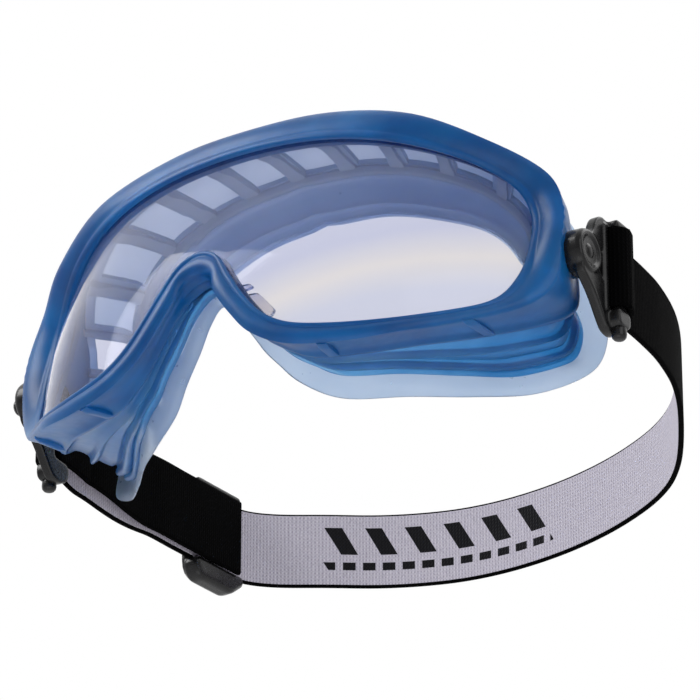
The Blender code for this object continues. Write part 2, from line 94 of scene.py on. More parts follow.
# Depth behind the front surface of the rim's lip round the lens.
LIP = -0.6
SEAL_FLARE = 6.0
SEAL_SETBACK = 4.5
SHELF_IN = 7.5
SHELF_BACK = 3.5
SHELF_START = 0.72
PIVOT_Y = 49.2
PIVOT_Z = 13.0
BAR_X = 80.2
BAR_Y = 60.7
BAR_RADIUS = 1.8
STRAP_WIDTH = 20.6
STRAP_THICKNESS = 1.4
STRAP_Z = 12.3
LAYER_SPACING = 3.4
HEADBAND_PLAN = (
    (77.0, 70.5), (76.7, 79.0), (75.5, 90.0), (71.8, 104.5), (64.5, 121.0), (52.0, 143.0), (40.5, 155.5),
    (25.0, 164.0), (8.0, 168.6), (-10.0, 169.6), (-27.0, 167.2), (-43.0, 161.2), (-57.5, 151.8),
    (-67.5, 143.0), (-71.4, 134.5), (-72.4, 123.0), (-73.4, 111.5), (-74.4, 100.0), (-77.4, 86.0),
    (-81.0, 74.0))
RETURN_END_Y = 135.0
SLIDER_PLACE = 127.5
# Windows through the brow wall: start and end in stations from the brow's centre.
VENTS = ((0.12, 0.60), (0.84, 1.33), (1.58, 2.10), (2.38, 3.04), (3.36, 4.06), (4.38, 5.16))


def to_world(p):
    return Vector((p[0], p[1] - ORIGIN_Y, p[2] - ORIGIN_Z)) * MM


def smoothstep(t):
    t = min(1.0, max(0.0, t))
    return t * t * (3 - 2 * t)


def front_y(x, z):
    """Distance back from the nose tip of the front surface at (x, z)."""
    rise = z - LEAN_CENTRE
    return WRAP_SQUARE * x * x + WRAP_FOURTH * x ** 4 + BROW_LEAN * (rise + math.hypot(rise, LEAN_SOFTNESS))


def catmull_rom(a, b, c, d, t):
    return Vector([0.5 * (2 * q + (r - p) * t + (2 * p - 5 * q + 4 * r - s) * t * t + (3 * q - p - 3 * r + s) * t ** 3)
                   for p, q, r, s in zip(a, b, c, d)])


def closed_curve(half):
    """A smooth loop through half an outline and its mirror image."""
    keys = list(half) + [(-p[0],) + tuple(p[1:]) for p in reversed(half[1:-1])]
    count = len(keys)
    return [catmull_rom(*[keys[(index + offset) % count] for offset in (-1, 0, 1, 2)], step / STEPS)
            for index in range(count) for step in range(STEPS)]


def open_curve(keys, steps):
    """A smooth curve through every key."""
    padded = [keys[0]] + list(keys) + [keys[-1]]
    points = [catmull_rom(*padded[index - 1:index + 3], step / steps)
              for index in range(1, len(padded) - 2) for step in range(steps)]
    return points + [Vector(keys[-1])]


class Station:
    """The goggles' walls at one place round their outline."""

    def __init__(self, opening, outward, rim_edge, rim_depth, seal_edge):
        self.outward = outward
        self.opening = Vector((opening.x, front_y(opening.x, opening.y), opening.y))
        self.rim_edge = rim_edge
        self.rim_depth = rim_depth
        self.seal_edge = seal_edge
        flare = SEAL_FLARE * min(1.0, 0.5 + abs(seal_edge.x) / 40.0 + 0.36 * smoothstep((seal_edge.z - 20.0) / 20.0))
        root = seal_edge - outward * flare - Vector((0, SEAL_SETBACK, 0))
        self.brow = smoothstep((seal_edge.z - 5.0) / 30.0)
        self.shelf = (Vector((0, SHELF_BACK, 0)) - outward * SHELF_IN) * self.brow
        self.seal_root = root + self.shelf
        side = root - rim_edge
        self.side_length = side.length
        self.side = side.normalized()
        self.side_normal = (outward - self.side * outward.dot(self.side)).normalized()
        face = rim_edge - self.groove(0, LIP)
        self.face_normal = (Vector((0, -1, 0)) - face * (-face.y / face.length_squared)).normalized()

    def wall(self, distance, offset=0.0):
        """A point on the side wall, that far back from the rim's edge."""
        turned = smoothstep((distance / self.side_length - SHELF_START) / (1.0 - SHELF_START))
        return self.rim_edge + self.side * distance + self.side_normal * offset + self.shelf * turned

    def skirt(self, fraction, offset=0.0):
        """A point on the skirt, by its share of the way from the rim to the seal."""
        start = self.rim_depth + GAP
        return self.wall(start + (self.side_length - start) * fraction, offset)

    def groove(self, out, back):
        """A point out from the lens opening and back from the front surface."""
        place = self.opening + self.outward * out
        return Vector((place.x, front_y(place.x, place.z) + back, place.z))

    def front(self, fraction, height):
        """A point on the rim's front face, from the lens opening to the outer edge."""
        return self.groove(0, LIP).lerp(self.rim_edge, fraction) + self.face_normal * height


def make_stations():
    openings = closed_curve([s[0] for s in STATIONS])
    rim_edges = closed_curve([s[1] for s in STATIONS])
    depths = closed_curve([(s[0][0], s[2]) for s in STATIONS])
    seal_edges = closed_curve([s[3] for s in STATIONS])
    count = len(openings)
    made = []
    for index in range(count):
        along = openings[(index + 1) % count] - openings[index - 1]
        outward = Vector((along.y, 0, -along.x)).normalized()
        made.append(Station(openings[index], outward, rim_edges[index], depths[index].y, seal_edges[index]))
    return made


stations = make_stations()
COUNT = len(stations)


# ---------------- mesh helpers

def new_object(name, data):
    made = bpy.data.objects.new(name, data)
    bpy.context.scene.collection.objects.link(made)
    return made


def finish_mesh(name, vertices, faces, material, uvs=None, sharp=40.0, indices=None):
    """A smooth shaded object from points in millimetres."""
    mesh = bpy.data.meshes.new(name)
    mesh.from_pydata([to_world(v) for v in vertices], [], faces)
    if uvs:
        layer = mesh.uv_layers.new(name="UVMap")
        for polygon in mesh.polygons:
            for loop, uv in zip(polygon.loop_indices, uvs[polygon.index]):
                layer.data[loop].uv = uv
    for one in (material if isinstance(material, (list, tuple)) else [material]):
        mesh.materials.append(one)
    if indices:
        for polygon, index in zip(mesh.polygons, indices):
            polygon.material_index = index
    mesh.shade_smooth()
    mesh.set_sharp_from_angle(angle=math.radians(sharp))
    return new_object(name, mesh)


def fix_normals(made):
    mesh = bmesh.new()
    mesh.from_mesh(made.data)
    bmesh.ops.recalc_face_normals(mesh, faces=mesh.faces)
    mesh.to_mesh(made.data)
    mesh.free()
    return made


def quad(row, other, column, size):
    """The face between two rows of that many points, which starts at that column."""
    following = (column + 1) % size
    return row * size + column, row * size + following, other * size + following, other * size + column


def loft(name, sections, closed, material, sharp=40.0, cap=True):
    """A tube through sections with the same number of points."""
    size = len(sections[0])
    count = len(sections)
    faces = [quad(row, (row + 1) % count, column, size)
             for row in range(count if closed else count - 1) for column in range(size)]
    if not closed and cap:
        faces.append(tuple(reversed(range(size))))
        faces.append(tuple((count - 1) * size + column for column in range(size)))
    made = finish_mesh(name, [p for section in sections for p in section], faces, material, sharp=sharp)
    return fix_normals(made)


def circle(steps):
    """Cosine and sine at even steps round a circle."""
    return [(math.cos(math.tau * step / steps), math.sin(math.tau * step / steps)) for step in range(steps)]


def lathe(profile, side, steps=40, y=PIVOT_Y):
    """Rings about an axis along X: profile is (x, radius)."""
    return [[Vector((side * x, y + r * c, PIVOT_Z + r * s)) for c, s in circle(steps)] for x, r in profile]


def join(objects, name):
    """One object from several."""
    mesh = bmesh.new()
    for one in objects:
        mesh.from_mesh(one.data)
    target, *others = objects
    mesh.to_mesh(target.data)
    mesh.free()
    for other in others:
        bpy.data.objects.remove(other, do_unlink=True)
    target.name = name
    return target


def rounded(outline, radius, steps=4):
    """Outline with its corners rounded."""
    points = []
    count = len(outline)
    for index in range(count):
        corner = Vector(outline[index])
        before = Vector(outline[index - 1]) - corner
        after = Vector(outline[(index + 1) % count]) - corner
        cut = min(radius, before.length * 0.45, after.length * 0.45)
        start = corner + before.normalized() * cut
        end = corner + after.normalized() * cut
        for step in range(steps + 1):
            t = step / steps
            points.append(tuple(start.lerp(corner, t).lerp(corner.lerp(end, t), t)))
    return points


def apply_modifiers(made):
    """Turn the object's modifiers into its mesh."""
    graph = bpy.context.evaluated_depsgraph_get()
    graph.update()
    made.data = bpy.data.meshes.new_from_object(made.evaluated_get(graph))
    made.modifiers.clear()
    return made


def melt(made, voxel, material):
    """Fuse overlapping solids into one moulded skin with soft inner corners."""
    remesh = made.modifiers.new("Remesh", "REMESH")
    remesh.mode = "VOXEL"
    remesh.voxel_size = voxel * MM
    soften = made.modifiers.new("Smooth", "SMOOTH")
    soften.factor = 0.5
    soften.iterations = 4
    apply_modifiers(made)
    made.data.shade_smooth()
    made.data.set_sharp_from_angle(angle=math.radians(60.0))
    made.data.materials.clear()
    made.data.materials.append(material)
    return made


# ---------------- materials

class Nodes:
    """Builds the nodes of one material or world."""

    def __init__(self, tree):
        self.tree = tree
        self.coordinates = tree.nodes.new("ShaderNodeTexCoord")

    def node(self, kind, **values):
        """A node with its properties and its sockets' own values."""
        made = self.tree.nodes.new("ShaderNode" + kind)
        for key, value in values.items():
            if hasattr(made, key):
                setattr(made, key, value)
            else:
                made.inputs[key.replace("_", " ")].default_value = value
        return made

    def link(self, source, target):
        self.tree.links.new(source, target)

    def noise(self, scale, detail=3.0, roughness=0.5):
        """Noise of that many grains a metre."""
        made = self.node("TexNoise", Scale=scale, Detail=detail, Roughness=roughness)
        self.link(self.coordinates.outputs["Object"], made.inputs["Vector"])
        return made.outputs["Fac"]

    def place(self, space="Object"):
        """Where a point of the surface lies, as separate X, Y and Z."""
        made = self.node("SeparateXYZ")
        self.link(self.coordinates.outputs[space], made.inputs["Vector"])
        return made.outputs

    def calculate(self, operation, *values):
        made = self.node("Math", operation=operation)
        for socket, value in zip(made.inputs, values):
            if isinstance(value, float):
                socket.default_value = value
            else:
                self.link(value, socket)
        return made.outputs[0]

    def mix(self, factor, first, second):
        """One colour turning into another. The second may be a plain colour."""
        made = self.node("Mix", data_type="RGBA")
        self.link(factor, made.inputs["Factor"])
        self.link(first, made.inputs["A"])
        if isinstance(second, tuple):
            made.inputs["B"].default_value = (*second, 1.0)
        else:
            self.link(second, made.inputs["B"])
        return made.outputs["Result"]

    def span(self, value, **limits):
        """A value carried from one range to another."""
        made = self.node("MapRange", **limits)
        self.link(value, made.inputs["Value"])
        return made.outputs["Result"]

    def smooth(self, value, low, high, start=0.0, end=1.0):
        """A soft step from start to end while a value comes from low to high."""
        return self.span(value, interpolation_type="SMOOTHSTEP", From_Min=low, From_Max=high, To_Min=start, To_Max=end)

    def ramp(self, factor, stops):
        made = self.node("ValToRGB")
        elements = made.color_ramp.elements
        while len(elements) < len(stops):
            elements.new(0.5)
        for element, (place, colour) in zip(elements, stops):
            element.position = place
            element.color = (*colour, 1.0)
        self.link(factor, made.inputs["Fac"])
        return made.outputs["Color"]


class Shader(Nodes):
    """Builds one node material round a Principled shader."""

    def __init__(self, name, roughness, **uniform):
        self.material = bpy.data.materials.new(name)
        self.material.use_nodes = True
        super().__init__(self.material.node_tree)
        self.bsdf = self.tree.nodes["Principled BSDF"]
        for key, value in {"Roughness": roughness, **uniform}.items():
            self.bsdf.inputs[key.replace("_", " ")].default_value = value

    def bump(self, height, distance, strength):
        made = self.node("Bump", Strength=strength, Distance=distance)
        self.link(height, made.inputs["Height"])
        self.link(made.outputs["Normal"], self.bsdf.inputs["Normal"])

    def colour(self, output):
        self.link(output, self.bsdf.inputs["Base Color"])

    def roughness(self, grain, low, high):
        self.link(self.span(grain, To_Min=low, To_Max=high), self.bsdf.inputs["Roughness"])


def rubber(name, deep, light, transmission, roughness, grain=1.0, brow=None, temple=None):
    """Translucent moulded rubber: cloudy colour, satin grain, soft gloss. brow is a paler colour high up, painted light
    standing in for light glowing through the thin brow; temple is a deeper colour far out, painted shade.
    """
    made = Shader(name, roughness, IOR=1.42, Transmission_Weight=transmission, Specular_IOR_Level=0.34,
                  Subsurface_Weight=0.25, Subsurface_Radius=(0.25, 0.6, 1.0), Subsurface_Scale=0.003)
    cloud = made.noise(55.0, 4.0, 0.55)

    def cloudy(deep, light):
        return made.ramp(cloud, ((0.3, deep), (0.75, light)))

    colour = cloudy(deep, light)
    # Painted light and shade by place: deeper far out at the temples (painted shade), paler high at the brow (painted
    # light).
    if brow:
        at = made.place()
        colour = made.mix(made.smooth(made.calculate("ABSOLUTE", at["X"]), 0.030, 0.060), colour, cloudy(*temple))
        colour = made.mix(made.smooth(at["Z"], -0.006, 0.018), colour, cloudy(*brow))
    made.colour(colour)
    made.roughness(made.noise(420.0, 2.0), roughness - 0.08, roughness + 0.1)
    if grain:
        made.bump(made.noise(2600.0, 3.0, 0.6), 0.00003 * grain, 0.5)
    return made.material


def black_plastic(name, roughness):
    """Moulded plastic with a fine mottle and a thin gloss."""
    made = Shader(name, roughness, IOR=1.5, Specular_IOR_Level=0.32, Coat_Weight=0.08, Coat_Roughness=0.12)
    made.colour(made.ramp(made.noise(300.0, 4.0), ((0.35, (0.005, 0.005, 0.0055)), (0.8, (0.013, 0.013, 0.014)))))
    made.roughness(made.noise(900.0, 3.0), roughness - 0.07, roughness + 0.12)
    made.bump(made.noise(1800.0, 3.0), 0.00003, 0.5)
    return made.material


blue = rubber("blue_rubber", (0.002, 0.10, 0.37), (0.006, 0.21, 0.58), 0.5, 0.36)
rib_blue = rubber("rib_rubber", (0.002, 0.17, 0.56), (0.006, 0.24, 0.66), 0.6, 0.36)
skirt_blue = rubber("skirt_rubber", (0.05, 0.28, 0.64), (0.15, 0.44, 0.80), 0.7, 0.32, 0.4,
                    brow=((0.34, 0.52, 0.80), (0.48, 0.64, 0.88)), temple=((0.008, 0.17, 0.50), (0.05, 0.30, 0.68)))
# Paler copies of the same body rubber for the brow wall, its posts, ledge and vent cover: painted light, standing in
# for light glowing through the thin brow.
brow_painted_light_blue = rubber("brow_rubber_painted_light", (0.34, 0.52, 0.80), (0.48, 0.64, 0.88), 0.42, 0.32, 0.4)
inner_painted_light_blue = rubber("inner_rubber_painted_light", (0.42, 0.58, 0.84), (0.54, 0.68, 0.90), 0.4, 0.34, 0.3)
cover_painted_light_blue = rubber("cover_rubber_painted_light", (0.62, 0.74, 0.91), (0.72, 0.82, 0.96), 0.8, 0.4, 0.4)
seal_blue = rubber("seal_rubber", (0.46, 0.59, 0.79), (0.53, 0.65, 0.84), 0.85, 0.3, 0.0)
gloss_black = black_plastic("black_plastic", 0.24)


def lens_material():
    """Clear polycarbonate with a faint lavender cast, and a warmer band across it that is a painted reflection."""
    made = Shader("clear_polycarbonate", 0.0, IOR=1.16, Transmission_Weight=0.94)
    at = made.place()
    # Where the band lies: a slanting line across X and Z, made a little wavy by noise; along it the colour turns warm,
    # a painted reflection.
    slope = made.calculate("MULTIPLY_ADD", at["X"], -0.32, at["Z"])
    cloudy = made.calculate("MULTIPLY_ADD", made.noise(14.0, 2.0), 0.012, slope)
    cool, painted_reflection_warm = (0.65, 0.67, 0.80), (0.78, 0.75, 0.76)
    made.colour(made.ramp(made.span(cloudy, From_Min=-0.05, From_Max=0.03), (
        (0.1, cool), (0.26, cool), (0.37, painted_reflection_warm), (0.5, (0.60, 0.62, 0.78)), (0.8, (0.66, 0.67, 0.80)))))
    return made.material


clear = lens_material()


# Woven marks: where along the band they start, and how long they run.
MARK_START = 158.0
MARK_LENGTH = 62.0
THREAD = 0.85


def marks(made, along, across):
    """Where the generic woven motif lies: slanted bars over a row of small blocks."""
    def inside(value, low, high):
        return made.calculate("MULTIPLY", made.calculate("GREATER_THAN", value, low),
                              made.calculate("LESS_THAN", value, high))

    start = made.calculate("SUBTRACT", along, MARK_START)
    leaning = made.calculate("SUBTRACT", start, made.calculate("MULTIPLY", across, 0.55))
    bars = made.calculate("MULTIPLY", inside(made.calculate("FLOORED_MODULO", leaning, 10.4), 0.0, 4.4),
                          inside(across, -1.2, 6.4))
    blocks = made.calculate("MULTIPLY", inside(made.calculate("FLOORED_MODULO", start, 5.2), 0.0, 3.3),
                            inside(across, -5.6, -3.4))
    return made.calculate("MULTIPLY", made.calculate("MAXIMUM", bars, blocks), inside(leaning, 0.0, MARK_LENGTH))


def webbing_material(name, base, dark, light, sheen, ink=None):
    """Woven elastic. U runs along the band and V across it, both in millimetres. ink is the colour of its marks."""
    made = Shader(name, 0.82, IOR=1.4, Specular_IOR_Level=0.03, Sheen_Weight=sheen, Sheen_Roughness=0.5)
    at = made.place("UV")

    def wave(source, pitch):
        return made.calculate("SINE", made.calculate("MULTIPLY", source, math.tau / pitch))

    weft = wave(at["X"], THREAD)
    warp = wave(at["Y"], THREAD * 1.15)
    crossing = made.calculate("MULTIPLY", made.calculate("MULTIPLY", weft, warp), 0.5)
    height = made.calculate("ADD", crossing, made.calculate("MULTIPLY", weft, 0.5))
    fuzz = made.noise(2500.0, 3.0, 0.7)
    # Colour follows the weave's height: painted shade in the hollows between threads and painted light on their crowns,
    # with random fibre tone from the fuzz.
    weave_shade_and_fuzz = made.calculate("ADD", made.calculate("MULTIPLY", height, 0.28), fuzz)
    colour = made.ramp(weave_shade_and_fuzz, ((0.2, dark), (0.55, base), (0.9, light)))
    made.colour(made.mix(marks(made, at["X"], at["Y"]), colour, ink) if ink else colour)
    made.bump(made.calculate("ADD", height, made.calculate("MULTIPLY", fuzz, 0.8)), 0.00012, 0.8)
    return made.material


lavender = webbing_material("webbing_inside", (0.58, 0.55, 0.63), (0.38, 0.35, 0.43), (0.74, 0.71, 0.78), 0.2,
                            ink=(0.006, 0.006, 0.008))
black_webbing = webbing_material("webbing_outside", (0.0012, 0.0012, 0.0014), (0.0005, 0.0005, 0.0006),
                                 (0.0035, 0.0035, 0.004), 0.0)

# ---------------- goggles body

def station_at(place):
    """The two stations round a place, in key stations from the nose, and the share between them."""
    position = place * STEPS
    index = math.floor(position)
    return stations[index % COUNT], stations[(index + 1) % COUNT], position - index


def on_skirt(place, fraction, offset):
    """A point on the skirt, at a place in key stations from the brow's centre."""
    a, b, share = station_at(BROW + place)
    return a.skirt(fraction, offset).lerp(b.skirt(fraction, offset), share)


def on_wall(place, distance, offset):
    """A point on the side wall, at a place in key stations from the nose."""
    a, b, share = station_at(place)
    return a.wall(distance, offset).lerp(b.wall(distance, offset), share)


# Front face of the rim, from the lens to its outer edge: how far across, and how proud.
RIM_FACE = ((0.0, 0.0), (0.03, 0.28), (0.08, 0.42), (0.16, 0.45), (0.21, 0.3), (0.25, 0.22), (0.31, 0.42),
            (0.42, 0.72), (0.56, 0.92), (0.72, 0.92), (0.88, 0.6), (0.96, 0.22))
# Grip ridges on the rim's edge: their height, and the key stations between which they lie.
SERRATION = 0.28
SERRATED = (10.9, 12.1)
TEMPLE_BULGE = 2.4


def serration(index):
    """Small grip ridges on the rim's edge above each pivot."""
    place = min(index, COUNT - index) / STEPS
    return SERRATION * (index % 2) if SERRATED[0] < place < SERRATED[1] else 0.0


def temple_bulge(index):
    """How far the rim's side swells outwards round each pivot."""
    place = min(index, COUNT - index) / STEPS
    return TEMPLE_BULGE * smoothstep((place - 9.0) / 1.2) * smoothstep((13.2 - place) / 1.2)


def make_rim():
    """The rim, hollowed for the pivots and the clips' hubs, and the bosses inside it."""
    back = LENS_RECESS + LENS_THICKNESS + GAP
    sections = []
    for index, s in enumerate(stations):
        depth = s.rim_depth
        ridge = serration(index)
        swell = temple_bulge(index)
        face = [s.front(fraction, height) for fraction, height in RIM_FACE]
        sections.append(face + [
            s.front(1.0, 0.05) + s.side_normal * ridge, s.wall(0.45, 0.02 + ridge + 0.1 * swell),
            s.wall(1.4, -0.08 + ridge + 0.25 * swell),
            s.wall(depth * 0.34, -0.4 + 0.8 * swell), s.wall(depth * 0.62, -0.42 + swell),
            s.wall(depth - 2.3, -0.2 + swell), s.wall(depth - 1.7, 0.16 + swell), s.wall(depth - 1.1, 0.3 + swell),
            s.wall(depth - 0.3, 0.24 + swell), s.wall(depth, -0.05 + 0.9 * swell),
            s.wall(depth + 0.1, -0.9), s.wall(depth, -0.4 - WALL), s.wall(min(depth - 1.2, 6.0), -WALL),
            s.groove(0.1, back + 1.8), s.groove(-0.1, back + 0.9), s.groove(0, back), s.groove(1.4, back),
            s.groove(1.4, LENS_RECESS - GAP), s.groove(0.1, LENS_RECESS - GAP), s.groove(-0.05, 0.2)])
    rim = loft("rim_body", sections, True, blue, sharp=50.0)
    cutters = []
    for side in (1, -1):
        cutters.append(loft("cutter", lathe(((62, 2.0), (74.1, 2.0), (74.1, 6.3), (90, 6.6)), side), False, blue))
        cutters.append(loft("cutter", lathe(((76.2, 8.6), (76.6, 9.2), (90, 9.8)), side, y=PIVOT_Y + 3.4), False, blue))
    for cutter in cutters:
        hollow = rim.modifiers.new("Hollow", "BOOLEAN")
        hollow.operation = "DIFFERENCE"
        hollow.solver = "FAST"
        hollow.object = cutter
    apply_modifiers(rim)
    for cutter in cutters:
        bpy.data.objects.remove(cutter, do_unlink=True)
    rim.data.set_sharp_from_angle(angle=math.radians(50.0))
    bosses = []
    for side in (1, -1):
        boss = lathe(((69.8, 4.7), (70.1, 5.2), (74.0, 5.4), (74.05, 2.1), (69.8, 2.1)), side)
        bosses.append(loft("boss", boss + [boss[0]], False, blue, cap=False))
    return rim, join(bosses, "pivot_bosses")


rim, pivot_bosses = make_rim()

# Cross ribs under the rim: place and distance where each starts and ends, and half its width in stations.
CROSS_RIBS = (((5.62, 0.3), (5.45, 10.6), 0.09), ((7.98, -0.6), (8.1, 10.8), 0.085))


def make_cross_ribs():
    """Low ribs across the rim's underside, with rounded tops that fade at both ends."""
    made = []
    for (start, low), (end, high), half in CROSS_RIBS:
        for mirror in (False, True):
            sections = []
            for step in range(13):
                t = step / 12
                place = start + (end - start) * t
                distance = low + (high - low) * t
                lift = 0.8 * min(1.0, 4 * t + 0.35, 4 * (1 - t) + 0.35)
                flank = lift - 0.25
                shape = ((-1.15, -0.7), (-1.0, flank), (-0.7, lift), (0.7, lift), (1.0, flank), (1.15, -0.7))
                section = [on_wall(place + across * half, distance, height) for across, height in shape]
                sections.append([Vector((-p.x, p.y, p.z)) if mirror else p for p in section])
            made.append(loft("cross_rib", sections, False, rib_blue))
    return join(made, "rim_cross_ribs")


cross_ribs = make_cross_ribs()

# The skirt's profile from rim to seal: how far along, and how proud below and at the brow.
SKIRT = ((0.0, -0.3, 0.0), (0.03, -1.15, 0.0), (0.08, -1.6, 0.0), (0.14, -1.75, 0.0), (0.22, -1.7, 0.0),
         (0.30, -1.5, 0.0), (0.36, -1.0, 0.0), (0.40, 0.0, 0.0), (0.43, 0.35, 0.0), (0.46, 0.2, 0.0),
         (0.49, -0.9, 0.0), (0.52, -1.2, 0.0), (0.60, -1.0, 0.0), (0.68, -0.9, 0.0), (0.70, -0.9, -0.15),
         (0.715, -0.9, -0.9), (0.74, -0.9, -1.2), (0.765, -1.0, 0.3), (0.79, -1.5, 1.2), (0.815, -1.6, 1.3),
         (0.84, -1.1, 0.5), (0.86, 0.2, -1.0), (0.885, 0.6, -1.3), (0.91, 0.8, -0.4), (0.94, 0.8, 0.9),
         (0.97, 0.6, 1.0), (1.0, 0.1, 0.2))
# Points of that profile between which the windows are cut.
WINDOW_ROWS = (3, 13)
SKIRT_THICKNESS = 1.3
# Side length from which the skirt's folds have their full depth.
FULL_FOLDS = 17.0


def window_at(index):
    """Whether this strip of the skirt, by station, is inside a brow window."""
    place = abs((index + 0.5) / STEPS - BROW)
    return any(start < place < end for start, end in VENTS)


def make_skirt():
    """The folded skirt as one thin wall, with windows cut through its brow."""
    size = len(SKIRT)
    sections = []
    for s in stations:
        short = min(1.0, s.side_length / FULL_FOLDS)
        outer = [s.skirt(f, (low + (brow - low) * s.brow) * short) for f, low, brow in SKIRT]
        inner = [s.skirt(f, (low + (brow - low) * s.brow - SKIRT_THICKNESS) * short) for f, low, brow in SKIRT]
        sections.append(outer + list(reversed(inner)))
    vertices = [p for section in sections for p in section]
    width = 2 * size
    first, last = WINDOW_ROWS
    faces = []
    for row in range(COUNT):
        other = (row + 1) % COUNT
        open_here = window_at(row)
        for column in range(width):
            across = column if column < size else width - 2 - column
            if open_here and first <= across < last and column != size - 1 and column != width - 1:
                continue
            faces.append(quad(row, other, column, width))
        if open_here:
            for edge in (first, last):
                a, b = row * width + edge, row * width + width - 1 - edge
                c, d = other * width + width - 1 - edge, other * width + edge
                faces.append((a, b, c, d))
        if open_here != window_at((row - 1) % COUNT):
            for column in range(first, last):
                a, b = row * width + column, row * width + column + 1
                faces.append((a, b, row * width + width - 2 - column, row * width + width - 1 - column))
    # Faces at the brow take the paler copy of the rubber, painted light.
    indices = [int(stations[min(corners) // width].brow > 0.98) for corners in faces]
    made = finish_mesh("skirt_body", vertices, faces, [skirt_blue, brow_painted_light_blue], sharp=55.0, indices=indices)
    return fix_normals(made)


skirt = make_skirt()


def make_posts():
    """Box posts inside the brow wall, one on each rib between windows."""
    places = [0.0]
    for (_, end), (start, _) in zip(VENTS, VENTS[1:]):
        places += [(start + end) / 2, -(start + end) / 2]
    places += [VENTS[-1][1] + 0.12, -VENTS[-1][1] - 0.12]
    made = []
    for place in places:
        sections = []
        for step in range(15):
            t = step / 14
            fraction = -0.06 + 0.78 * t
            half = 0.085 + 0.03 * smoothstep((t - 0.75) / 0.25)
            height = 1.1 + 1.5 * smoothstep((0.5 - t) / 0.3)
            shape = ((-1.2, 0), (-1.0, 0.9), (-0.75, 1.0), (0.75, 1.0), (1.0, 0.9), (1.2, 0))
            sections.append([on_skirt(place + across * half, fraction, -SKIRT_THICKNESS + 0.3 - depth * height)
                             for across, depth in shape])
        # The posts take the paler copy of the rubber, painted light.
        made.append(loft("post", sections, False, inner_painted_light_blue))
    return join(made, "brow_posts")


posts = make_posts()


def brow_places(reach):
    """Places in key stations from the brow's centre, that far to each side."""
    return [index / STEPS - BROW for index in range(int((BROW - reach) * STEPS), int((BROW + reach) * STEPS) + 1)]


def make_ledge():
    """The raised lip that runs along the windows' back edge."""
    sections = []
    for place in brow_places(5.5):
        sections.append([on_skirt(place, fraction, offset - SKIRT_THICKNESS) for fraction, offset in
                         ((0.69, 0.2), (0.685, -0.7), (0.70, -1.2), (0.72, -1.35), (0.735, -1.1), (0.74, 0.0))])
    # The ledge takes the paler copy of the rubber, painted light.
    return loft("window_ledge", sections, False, inner_painted_light_blue)


ledge = make_ledge()


def make_cover():
    """The strip over the windows, on a lip along its front and back, with rounded ends."""
    sections = []
    for place in brow_places(4.25):
        near_end = min(1.0, (4.27 - abs(place)) / 0.3)
        top = 1.9 + 1.2 * math.sqrt(max(0.0, 1 - (1 - near_end) ** 2))
        lines = ((0.02, 1.2), (0.03, 1.9), (0.4, 2.05), (0.76, 1.9), (0.78, 1.4), (0.80, 1.4), (0.81, top - 0.7),
                 (0.79, top - 0.1), (0.75, top), (0.4, top + 0.1), (0.06, top), (0.01, top - 0.2), (-0.02, top - 0.8),
                 (0.0, 1.2))
        sections.append([on_skirt(place, fraction, offset) for fraction, offset in lines])
    # The cover takes the palest copy of the rubber, painted light.
    return loft("vent_cover", sections, False, cover_painted_light_blue, sharp=50.0)


cover = make_cover()


def make_seal():
    """Bead and flange of the face seal."""
    sections = []
    for index, s in enumerate(stations):
        root = s.seal_root + s.side * GAP
        tip = s.seal_edge
        out = s.side_normal
        along = (tip - root).normalized()
        back = (Vector((0, 1, 0)) - along * along.y).normalized()
        reach = (tip - root).length
        size = min(1.0, reach / 6.0)
        start = root + (s.side * 2.3 + out * 0.9) * size
        ripple = 0.12 * math.sin(index * 0.53) + 0.1 * math.sin(index * 0.21)

        def flange(t, depth):
            sag = 0.5 * math.sin(math.pi * t)
            return start.lerp(tip, t) + back * (depth - sag + ripple * t * t)

        sections.append([
            root - out * 1.5, root + out * 0.1, root + (out * 0.85 + s.side * 0.25) * size,
            root + (out * 1.3 + s.side * 0.95) * size, root + (out * 1.35 + s.side * 1.6) * size,
            flange(0.0, 0.0), flange(0.2, 0.0), flange(0.4, 0.0), flange(0.6, 0.02), flange(0.8, 0.05),
            flange(0.93, 0.05), flange(0.985, 0.0), flange(1.0, 0.3), flange(0.99, 0.62), flange(0.93, 0.75),
            flange(0.8, 0.8), flange(0.6, 0.9), flange(0.4, 1.0), flange(0.2, 1.15), flange(0.0, 1.3),
            root + s.side * 2.0 - out * 1.0, root + s.side * 1.1 - out * 1.6])
    size = len(sections[0])
    vertices = [p for section in sections for p in section]
    faces, indices = [], []
    for row in range(COUNT):
        for column in range(size):
            faces.append(quad(row, (row + 1) % COUNT, column, size))
            indices.append(0 if column < 5 or column > 18 else 1)
    made = finish_mesh("seal_flange", vertices, faces, [skirt_blue, seal_blue], indices=indices)
    return fix_normals(made)


seal = make_seal()


